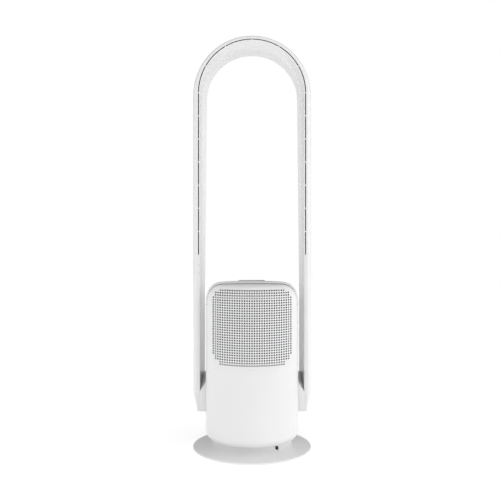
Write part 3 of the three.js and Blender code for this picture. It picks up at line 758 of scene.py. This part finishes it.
def airBlock(name, nearX, farX, side=1, grow=0):
    # the path of the air from the fan to a leg, or that path with walls of some thickness
    x0, x1 = sorted((side * nearX, side * farX))
    a = airway
    return block(name, (x0, a["front"] - grow, a["low"] - grow), (x1, a["back"] + grow, a["high"] + grow))


def drumShell(d, p):
    shell = carve(vessel(d, "drum_shell"), seamTool(d, d["seamGap"]))
    for side in (-1, 1):
        carve(shell, airBlock("port", 40 * mm, 130 * mm, side, 2.8 * mm))
    clear = p["clear"]
    x0, x1 = panelLow.x - clear, panelHigh.x + clear
    y0, y1 = panelLow.y - clear, panelHigh.y + clear
    carve(shell, raised("panelHole", roundedRectangle(x0, x1, y0, y1, p["corner"] + clear), 370 * mm, 400 * mm))
    shade(shell, 30)
    return shell


fit(grilleCover(drum, grille), "cover", ["grille_cover"], None)
print("grille cover made")
fit(drumShell(drum, panel), "head", ["body_shell"], whiteShell)
# dark strip of painted shadow along the seam between the cover and the shell
fit(seamShadowStrip(drum), "head", [], rubber)


def touchPanel(p):
    outline = roundedRectangle(panelLow.x, panelHigh.x, panelLow.y, panelHigh.y, p["corner"])
    plate = raised("touch_panel", outline, panelLow.z, panelHigh.z)
    clear = p["clear"]
    x0, x1 = lensLow.x - clear, lensHigh.x + clear
    y0, y1 = lensLow.y - clear, lensHigh.y + clear
    carve(plate, raised("well", roundedRectangle(x0, x1, y0, y1, 3 * mm), lensLow.z - 0.3 * mm, 0.4))
    for i in range(3):  # shallow touch spots beside the lens
        x = lensHigh.x + 9 * mm + i * p["spotGap"]
        ring = ringPiece("spot", 3.1 * mm, 3.7 * mm, panelHigh.z - 0.25 * mm, panelHigh.z + 1 * mm, 48)
        ring.data.transform(Matrix.Translation((x, (panelLow.y + panelHigh.y) / 2, 0)))
        carve(plate, ring)
    return rounded(plate, 0.35 * mm, 2, 50)


def panelLens():
    outline = roundedRectangle(lensLow.x, lensHigh.x, lensLow.y, lensHigh.y, 2.8 * mm)
    return rounded(raised("panel_lens", outline, lensLow.z, lensHigh.z), 0.3 * mm, 3, 50)


fit(touchPanel(panel), "head", ["control_panel"], panelGrey)
fit(panelLens(), "head", ["display_lens"], panelGlass)
print("drum made")


# Loop: outer and inner shells, closed round the air duct.

outerLow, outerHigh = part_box("loop_outer_shell")
loop = {
    "archZ": 837 * mm,
    "depth": outerHigh.y,
    "edgeInner": 123.5 * mm,
    "edgeOuter": 129.7 * mm,
    "slitInner": 125.5 * mm,
    "slitOuter": 127.8 * mm,
    "bulge": 13.3 * mm,
    "creaseRadius": 122.3 * mm,
    "creaseY": 71 * mm,
    "lipRadius": 112.4 * mm,
    "lipY": 90 * mm,
    "lipTaper": 0.0107,
    "lipDrawn": 4.7 * mm,
    "farInner": 121.2 * mm,
    "wall": 2.3 * mm,
    "legEnd": outerLow.z,
    "taperStart": 128 * mm,
    "taperSlope": 0.42,
    "taperRound": 7 * mm,
    "archSteps": 96,
}


def outerBulge(p, z):
    drawnIn = math.hypot(p["taperRound"], p["taperSlope"] * max(0, p["taperStart"] - z)) - p["taperRound"]
    return max(0, p["bulge"] - drawnIn)


def outerRing(p, z):
    bulge, half = outerBulge(p, z), p["depth"] / 2
    inHalf = half - p["wall"]
    turns = [math.pi * i / 40 for i in range(41)]
    ring = [(p["slitOuter"], 0)]
    ring += [(p["edgeOuter"] + bulge * math.sin(t), half - half * math.cos(t)) for t in turns]
    ring += [(p["farInner"] + 0.3 * mm, p["depth"]), (p["farInner"] + 0.3 * mm, p["depth"] - p["wall"])]
    inside = [math.pi * i / 14 for i in range(15)]
    return ring + [(p["slitOuter"] + bulge * math.sin(t), half - inHalf * math.cos(t)) for t in reversed(inside)]


def innerRing(p, z):
    drawn = min(p["lipDrawn"], p["lipTaper"] * max(0, p["archZ"] - z))
    lip, lipY, crease = p["lipRadius"] + drawn, p["lipY"], p["creaseRadius"]
    ring = [(p["slitInner"], 0), (p["edgeInner"] + 0.3 * mm, 0), (p["edgeInner"], 0.3 * mm)]
    ring += [(p["edgeInner"] + (crease - p["edgeInner"]) * t, p["creaseY"] * t) for t in (0.3, 0.65, 0.95)]
    ring += bezier((crease - 0.1 * mm, 69.5 * mm), (crease - 0.3 * mm, 71.5 * mm),
                   (crease - 1 * mm, 73 * mm), (crease - 1.8 * mm, 74.5 * mm), 4)
    ring += bezier((lip + 1.3 * mm, lipY - 2.5 * mm), (lip + 0.1 * mm, lipY - 0.6 * mm),
                   (lip - 0.1 * mm, lipY + 0.6 * mm), (lip + 0.9 * mm, lipY + 2 * mm), 6)
    far = p["farInner"]
    ring += bezier((lip + 1.4 * mm, lipY + 2.6 * mm), (lip + 3.5 * mm, lipY + 5 * mm),
                   (far - 2.5 * mm, 98.6 * mm), (far, p["depth"] - 0.2 * mm), 8)
    ring += [(far, p["depth"] - p["wall"]), (lip + 4 * mm, lipY + 1 * mm)]
    return ring + [(crease + p["wall"], p["creaseY"]), (p["slitInner"], 4 * mm)]


def loopStations(p, ringAt):
    heights = [p["legEnd"] + (p["taperStart"] + 6 * mm - p["legEnd"]) * i / 16 for i in range(17)]
    heights += [398 * mm, p["archZ"]]
    left = [[(-r, y, z) for r, y in ringAt(p, z)] for z in heights]
    right = [[(r, y, z) for r, y in ringAt(p, z)] for z in reversed(heights)]
    steps = p["archSteps"]
    arch = []
    for i in range(1, steps):
        t = -math.pi / 2 + math.pi * i / steps
        arch.append([(r * math.sin(t), y, p["archZ"] + r * math.cos(t)) for r, y in ringAt(p, p["archZ"])])
    return left + arch + right


slit = {
    "segments": 7,
    "segmentLength": 54.7 * mm,
    "archStep": 30,  # degrees
    "ribWidth": 2.4 * mm,
    "ribDepth": 6 * mm,
    "recess": 0.15 * mm,
}


def slitRibs(p, s):
    middle = (p["slitInner"] + p["slitOuter"]) / 2
    half = (p["slitOuter"] - p["slitInner"]) / 2 + 0.1 * mm
    spots, turns = [], []
    for i in range(1, 6):
        t = math.radians(-90 + i * s["archStep"])
        spots.append((middle * math.sin(t), 0, p["archZ"] + middle * math.cos(t)))
        turns.append(t)
    for i in range(s["segments"]):
        for side in (-1, 1):
            spots.append((side * middle, 0, p["archZ"] - i * s["segmentLength"]))
            turns.append(side * math.pi / 2)
    ribs = newPiece("slit_ribs", spots, [])
    attribute = ribs.data.attributes.new("turn", "FLOAT", "POINT")
    attribute.data.foreach_set("value", turns)
    rib = block("rib", (-s["ribWidth"] / 2, s["recess"], -half), (s["ribWidth"] / 2, s["ribDepth"], half))
    rounded(rib, 0.25 * mm, 2)
    runTree(ribs, ribsAcross, {"Rib": rib, "Finish": whiteShell})
    drop(rib)
    shade(ribs, 40)
    return ribs


loopOuter = lofted("loop_outer", loopStations(loop, outerRing), 38)
fit(loopOuter, "head", ["loop_outer_shell"], whiteShell)
loopInner = lofted("loop_inner", loopStations(loop, innerRing), 38)
fit(loopInner, "head", ["loop_inner_shell"], whiteShell)
fit(slitRibs(loop, slit), "head", [], None)
print("loop made")


# Ducts from the drum to the legs, the closed strips below the slit and the leg ends.

duct = {
    "frontY": 0.0,
    "backY": 86 * mm,
    "frontTop": 130 * mm,
    "backTop": 163 * mm,
    "rise": 1.43,  # how steeply the top climbs from the leg to the drum
    "innerX": 50 * mm,
    "outline": [(0.0, 123.6 * mm), (71 * mm, 122.2 * mm), (86 * mm, 118.2 * mm)],
    "bottom": 83 * mm,
}


def sideDuct(d, name):
    span = (d["backTop"] - d["frontTop"]) / (d["backY"] - d["frontY"])

    def ring(xOf, lift):
        low = [(xOf(x), y, d["bottom"]) for y, x in d["outline"]]
        high = [(xOf(x), y, d["frontTop"] + span * (y - d["frontY"]) + lift) for y, x in d["outline"]]
        return low + high[::-1]

    inner, outer = d["innerX"], d["outline"][0][1]
    piece = lofted(name, [ring(lambda x: inner, (outer - inner) * d["rise"]), ring(lambda x: x, 0)])
    carve(piece, rod("drumRoom", drum["radius"] + 0.15 * mm, 0, 0.5, segments=drum["segments"]))
    carve(piece, block("over", (-0.2, -0.02, d["backTop"] + 0.5 * mm), (0.2, 0.2, 0.5)))
    rounded(piece, 0.5 * mm, 2, 25)
    carve(piece, airBlock("passage", 30 * mm, 130 * mm))
    shade(piece, 30)
    return piece


def ductCollar(name):
    # the duct's square mouth inside the drum, from its wall to the fan housing
    piece = airBlock(name, 40 * mm, 108 * mm, grow=2.5 * mm)
    carve(piece, airBlock("passage", 39 * mm, 109 * mm))
    carve(piece, rod("housingRoom", 92.3 * mm, 0, 0.5, segments=160))
    carve(piece, rod("drumLimit", 108.5 * mm, 0.05, 0.2, segments=160), "INTERSECT")
    shade(piece, 30)
    return piece


def closedStrip(p, s, name):
    endZ = p["archZ"] - s["segments"] * s["segmentLength"]
    low = (p["slitInner"] - 0.05 * mm, 0.0, p["legEnd"])
    high = (p["slitOuter"] + 0.05 * mm, s["ribDepth"], endZ)
    return rounded(block(name, low, high), 0.2 * mm, 2)


def legEndCap(p, name):
    low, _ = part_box("right_leg_cap")
    outline = [(123.5 * mm, 0.0), (129.7 * mm, 0.0), (129.7 * mm, 100 * mm), (121.4 * mm, 100 * mm),
               (118.3 * mm, 90 * mm), (122.4 * mm, 71 * mm)]
    cap = raised(name, outline, low.z, p["legEnd"])
    return rounded(cap, 1.2 * mm, 3, 50)


for word, side in (("right", 1), ("left", -1)):
    made = [
        (sideDuct(duct, f"{word}_duct_fairing"), "duct"),
        (closedStrip(loop, slit, f"{word}_closed_strip"), "slit_filler"),
        (legEndCap(loop, f"{word}_leg_end"), "leg_cap"),
        (ductCollar(f"{word}_duct_collar"), None),
    ]
    for piece, node in made:
        if side < 0:
            toOtherSide(piece)
        fit(piece, "head", [f"{word}_{node}"] if node else [], whiteShell)
print("ducts made")


# Drum floor and its screws.

floorLow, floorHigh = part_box("body_floor")


def drumFloor():
    bottom, top = floorLow.z, 30.7 * mm
    bore, hub, hubTop = 16.4 * mm, 24 * mm, floorHigh.z
    edge = 0.6 * mm
    profile = [(bore, bottom), (26 * mm, bottom), (27 * mm, bottom + 0.8 * mm), (55 * mm, bottom + 0.8 * mm)]
    profile += [(56 * mm, bottom), (89.2 * mm, bottom), (89.7 * mm, bottom + 0.5 * mm), (89.7 * mm, 28.3 * mm)]
    profile += [(95.3 * mm, 28.3 * mm), (95.5 * mm, 28.6 * mm), (95.5 * mm, top), (hub + 2 * mm, top)]
    profile += [(hub + edge, top + edge), (hub, top + 2 * mm), (hub, hubTop - edge), (hub - edge, hubTop)]
    profile += [(bore + edge, hubTop), (bore, hubTop - edge)]
    plate = turned("drum_floor", profile, 160)
    for radius, low, high in ((4.4, 20, 27.2), (2.2, 20, 40)):
        way = rod("way", radius * mm, low * mm, high * mm, segments=32)
        way.data.transform(Matrix.Rotation(math.radians(90), 4, "Z") @ Matrix.Translation((75 * mm, 0, 0)))
        carve(plate, repeated(way, 3, None))
    shade(plate, 30)
    return plate


fit(drumFloor(), "head", ["body_floor"], greyChassis)
floorScrews = screw("floor_screws", 4 * mm, 24.9 * mm, 27 * mm, 1.8 * mm, 44 * mm, 75 * mm, 90)
repeated(floorScrews, 3, zincSteel)
fit(floorScrews, "head", [f"floor_screw_{i}" for i in range(1, 4)], zincSteel)


# Fan unit: housing, inlet ring, impeller, filter and boards, seen when the cover is off.

housing = {"radius": 92 * mm, "bottom": 88 * mm, "floorTop": 91 * mm, "top": 203 * mm, "wall": 2.5 * mm}


def fanHousing(h):
    r, wall = h["radius"], h["wall"]
    profile = [(5 * mm, h["bottom"]), (r - 2 * mm, h["bottom"])]
    profile += arc((r - 2 * mm, h["bottom"] + 2 * mm), 2 * mm, -90, 0, 6)
    for z in (112, 140, 168):  # shallow stiffening beads
        profile += [(r, (z - 2) * mm), (r - 0.6 * mm, (z - 1) * mm), (r - 0.6 * mm, (z + 1) * mm), (r, (z + 2) * mm)]
    profile += [(r, h["top"] - 0.5 * mm), (r - 0.5 * mm, h["top"]), (r - wall, h["top"]), (r - wall, h["floorTop"])]
    profile += [(5 * mm, h["floorTop"])]
    tub = turned("fan_housing_visual", profile, 160)
    post = rod("post", 5 * mm, 31 * mm, h["bottom"] + 1 * mm, segments=32)
    post.data.transform(Matrix.Rotation(math.radians(90), 4, "Z") @ Matrix.Translation((75 * mm, 0, 0)))
    merge(tub, [repeated(post, 3, None)])
    for side in (-1, 1):
        carve(tub, airBlock("outlet", 30 * mm, 130 * mm, side))
    shade(tub, 30)
    return tub


def inletRing(h):
    low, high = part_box("inlet_ring")
    top, throat = high.z, 54 * mm
    outer, edge = h["radius"], 0.4 * mm
    profile = [(outer, h["top"] + 0.3 * mm), (outer, top - edge), (outer - edge, top), (66 * mm, top)]
    profile += bezier((64 * mm, top), (57 * mm, top - 0.2 * mm), (throat, top - 3.5 * mm), (throat, low.z), 14)
    profile += [(throat + 1.6 * mm, low.z)]
    profile += bezier((throat + 1.8 * mm, low.z + 0.5 * mm), (throat + 2 * mm, top - 4.2 * mm),
                      (throat + 5 * mm, top - 2.8 * mm), (throat + 12 * mm, h["top"] + 0.3 * mm), 10)
    return turned("inlet_ring_visual", profile, 160)


fan = {
    "blades": 9,
    "bore": 2.4 * mm,
    "wrap": 62,  # degrees that a blade winds from its inlet to its tip
    "hub": [(21, 174.5), (45, 152.5), (79, 130)],
    "shroud": [(51, 194.5), (57, 181), (81, 152.5)],
    "bladeThickness": 1.7 * mm,
}


def fanHub(f):
    profile = [(f["bore"], 127.3 * mm), (9.6 * mm, 127.3 * mm), (10 * mm, 128 * mm), (10 * mm, 172 * mm)]
    profile += bezier((12 * mm, 173 * mm), (30 * mm, 165 * mm), (50 * mm, 143 * mm), (79 * mm, 127.2 * mm), 16)
    profile += [(79.8 * mm, 128.2 * mm)]
    profile += bezier((79.4 * mm, 129 * mm), (52 * mm, 145 * mm), (32 * mm, 168 * mm), (9 * mm, 184 * mm), 22)
    profile += [(8 * mm, 184.9 * mm), (f["bore"], 184.9 * mm)]
    return turned("fan_hub", profile, 128)


def fanBlade(f):
    def along(line, t):
        (r0, z0), (r1, z1), (r2, z2) = line
        u = 1 - t
        return (u * u * r0 + 2 * u * t * r1 + t * t * r2) * mm, (u * u * z0 + 2 * u * t * z1 + t * t * z2) * mm

    steps, across = 18, 8
    stations = []
    for i in range(steps + 1):
        t = i / steps
        (hr, hz), (sr, sz) = along(f["hub"], t), along(f["shroud"], t)
        swing = -math.radians(f["wrap"]) * t ** 0.85
        half = f["bladeThickness"] / 2 * (0.55 + 1.6 * t * (1 - t))
        ring = []
        for side in (1, -1):
            shares = range(across + 1) if side > 0 else range(across, -1, -1)
            for j in shares:
                s = j / across
                r, z = hr + (sr - hr) * s, hz + (sz - hz) * s
                a = swing - 0.16 * s * (1 - t) + side * half / r
                ring.append((r * math.cos(a), r * math.sin(a), z))
        stations.append(ring)
    return lofted("fan_blades", stations, 50)


def impeller(f):
    blades = repeated(fanBlade(f), f["blades"], fanPlastic, 50)
    hub = fanHub(f)
    fit(hub, "rotor", ["impeller"], fanPlastic)
    fit(blades, "rotor", [], None)


def hexNut():
    low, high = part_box("impeller_nut")
    corner, turns = 5 * mm, [tau * (i + 0.5) / 6 for i in range(6)]
    nut = raised("hex_nut", [(corner * math.cos(t), corner * math.sin(t)) for t in turns], low.z, high.z)
    below, wide = low.z - 1 * mm, 5.4 * mm
    dome = turned("dome", [(0, below), (wide, below), (wide, high.z - 1 * mm), (4 * mm, high.z), (0, high.z)], 48)
    carve(nut, dome, "INTERSECT")
    carve(nut, rod("thread", 2.3 * mm, 0.18, 0.2, segments=32))
    shade(nut, 30)
    return nut


def motorShaft():
    low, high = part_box("motor_shaft")
    radius, edge = 2 * mm, 0.4 * mm
    profile = [(0, low.z), (radius - edge, low.z), (radius, low.z + edge)]
    profile += [(radius, high.z - edge), (radius - edge, high.z), (0, high.z)]
    return turned("shaft", profile, 40)


def curvedWall(name, inner, outer, halfDeg, low, high, steps=72):
    # a curved panel about the -Y side; inner and outer give the radius at a share of the way round
    stations = []
    for i in range(steps + 1):
        a = math.radians(-90 - halfDeg + 2 * halfDeg * i / steps)
        c, s = math.cos(a), math.sin(a)
        ri, ro = inner(i), outer(i)
        corners = ((ri, low), (ro, low), (ro, high), (ri, high))
        stations.append([(r * c, r * s, z) for r, z in corners])
    return lofted(name, stations, 25)


def filterFrame():
    low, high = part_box("filter_frame")
    holder = curvedWall("filter_frame_visual", lambda i: 98 * mm, lambda i: 101 * mm, 58, low.z, high.z)
    carve(holder, curvedWall("window", lambda i: 90 * mm, lambda i: 110 * mm, 54, low.z + 6 * mm, high.z - 6 * mm))
    bars = []
    for k in (1, 2):  # two level bars behind the net
        z = low.z + (high.z - low.z) * k / 3
        bars.append(curvedWall("bar", lambda i: 97.9 * mm, lambda i: 98.6 * mm, 56, z - 1.5 * mm, z + 1.5 * mm))
    merge(holder, bars)
    shade(holder, 30)
    return holder


def pleatedFilter():
    # a net folded into upright pleats
    low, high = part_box("filter_mesh")

    def pleatAt(radius):
        return lambda i: radius + 0.45 * mm * (1 if i % 2 else -1)

    return curvedWall("filter_net", pleatAt(99.25 * mm), pleatAt(99.7 * mm), 53.7, low.z, high.z, 130)


def mainBoard():
    low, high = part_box("main_board")
    face = high.y - 1.6 * mm  # components stand on the side that looks out
    board = rounded(block("main_board_visual", (low.x, face, low.z), (high.x, high.y, high.z)), 0.3 * mm, 1)
    board.data.materials.append(boardGreen)
    parts = [
        ("transformer", (-40, 42), (18, 16), 9, acetal),
        ("controlChip", (-12, 62), (14, 12), 2, blackPlastic),
        ("driverChip", (14, 42), (9, 7), 2, blackPlastic),
        ("socketRow", (18, 64), (22, 8), 6.5, acetal),
        ("heatSink", (-44, 64), (22, 14), 7, zincSteel),
    ]
    pieces = []
    for name, (x, z), (wide, tall), depth, mat in parts:
        part = block(name, (x * mm, face - depth * mm, z * mm), ((x + wide) * mm, face + 0.1 * mm, (z + tall) * mm))
        rounded(part, 0.6 * mm, 2)
        part.data.materials.append(mat)
        pieces.append(part)
    for x, z in ((-16, 46), (-6, 46), (4, 46), (38, 50), (38, 58)):  # upright capacitors
        profile = [(0, 0), (3, 0), (3, 6.6), (2.6, 7), (2.4, 6.8), (0, 6.8)]
        can = turned("capacitor", [(r * mm, h * mm) for r, h in profile], 32)
        can.data.transform(Matrix.Translation((x * mm, face, z * mm)) @ Matrix.Rotation(math.radians(90), 4, "X"))
        can.data.materials.append(zincSteel)
        pieces.append(can)
    return board, pieces


def joinPieces(first, others):
    bpy.ops.object.select_all(action="DESELECT")
    for piece in [first] + others:
        piece.select_set(True)
    bpy.context.view_layer.objects.active = first
    bpy.ops.object.join()
    return first


impeller(fan)
fit(hexNut(), "rotor", ["impeller_nut"], zincSteel)
fit(motorShaft(), "rotor", ["motor_shaft"], zincSteel)
fit(fanHousing(housing), "head", ["fan_housing"], greyChassis)
fit(inletRing(housing), "head", ["inlet_ring"], greyChassis)
fit(filterFrame(), "cover", ["filter_frame"], greyChassis)
fit(pleatedFilter(), "cover", ["filter_mesh"], filterNet)
boardPiece = joinPieces(*mainBoard())
shade(boardPiece, 35)
fit(boardPiece, "head", ["main_board"], None)
print("fan unit made")

# The rest of the works keep their CAD shapes and get their real finishes.

finishes = {
    zincSteel: [
        "ballast_plate", "spindle_tube", "swing_motor", "motor_mount", "motor_bearing_lower", "motor_bearing_upper",
        "rotor_bell",
    ],
    acetal: ["swing_gear", "thrust_washer", "swing_pinion"],
    rubber: ["motor_damper_1", "motor_damper_2", "motor_damper_3", "left_duct_seal", "right_duct_seal"],
    copperWire: ["motor_stator"],
    boardGreen: ["control_board"],
}
for mat, names in finishes.items():
    for name in names:
        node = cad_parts[name]
        for place in node.material_slots:
            place.material = mat
print("finishes set")


# Floor and light.

studio = {
    "floorSize": 14,
    "floorColour": (0.9, 0.9, 0.9),
    "floorGlow": 0.4,
    "ambient": 0.1,
    "front": 0.2,
    "left": 0.6,
    "right": 1.1,
    "overhead": 0.82,
    "horizon": 0.45,
}


def addFloor(s):
    half = s["floorSize"] / 2
    corners = [(-half, -half, 0), (half, -half, 0), (half, half, 0), (-half, half, 0)]
    floor = newPiece("floor", corners, [(0, 1, 2, 3)])
    mat = newMaterial("pale_floor", s["floorColour"], 0.8)
    varyRoughness(mat, noiseOn(mat, 4, 3), 0.75, 0.85)
    shader = mat.node_tree.nodes["Principled BSDF"]
    shader.inputs["Emission Color"].default_value = (1, 1, 1, 1)
    shader.inputs["Emission Strength"].default_value = s["floorGlow"]
    floor.data.materials.append(mat)


def addSky(s):
    # a soft white room, brighter at each side, overhead and along the horizon; the camera sees a plain backdrop
    world = bpy.data.worlds.new("studio")
    bpy.context.scene.world = world
    world.use_nodes = True
    tree = world.node_tree
    place = tree.nodes.new("ShaderNodeTexCoord")
    split = tree.nodes.new("ShaderNodeSeparateXYZ")
    tree.links.new(place.outputs["Generated"], split.inputs[0])

    def glow(axis, start, full, strength):
        ends = {"From Min": start, "From Max": full, "To Max": strength}
        span = addNode(tree, "ShaderNodeMapRange", ends)
        span.interpolation_type = "SMOOTHSTEP"
        tree.links.new(split.outputs[axis], span.inputs["Value"])
        return span.outputs["Result"]

    def combine(operation, a, b):
        node = tree.nodes.new("ShaderNodeMath")
        node.operation = operation
        tree.links.new(a, node.inputs[0])
        if isinstance(b, float):
            node.inputs[1].default_value = b
        else:
            tree.links.new(b, node.inputs[1])
        return node.outputs["Value"]

    overhead = combine("MULTIPLY", glow("Z", 0.25, 0.8, s["overhead"]), glow("Y", 0.35, -0.35, 1.0))
    walls = combine("ADD", glow("X", -0.3, -0.9, s["left"]), glow("X", 0.3, 0.9, s["right"]))
    level = combine("ADD", combine("ADD", overhead, walls), glow("Y", 0.6, -0.6, s["front"]))
    level = combine("ADD", level, glow("Z", 0.4, 0.05, s["horizon"]))
    room = tree.nodes["Background"]
    tree.links.new(combine("ADD", level, s["ambient"]), room.inputs["Strength"])
    room.inputs["Color"].default_value = (1, 1, 1, 1)
    backdrop = addNode(tree, "ShaderNodeBackground", {"Color": (1, 1, 1, 1)})
    ray = tree.nodes.new("ShaderNodeLightPath")
    mix = tree.nodes.new("ShaderNodeMixShader")
    tree.links.new(ray.outputs["Is Camera Ray"], mix.inputs["Fac"])
    tree.links.new(room.outputs["Background"], mix.inputs[1])
    tree.links.new(backdrop.outputs["Background"], mix.inputs[2])
    tree.links.new(mix.outputs["Shader"], tree.nodes["World Output"].inputs["Surface"])


addFloor(studio)
addSky(studio)
bpy.context.scene.view_settings.view_transform = "Standard"
bpy.context.scene.cycles.denoising_prefilter = "NONE"  # keeps the fine grille crisp
print("studio made")
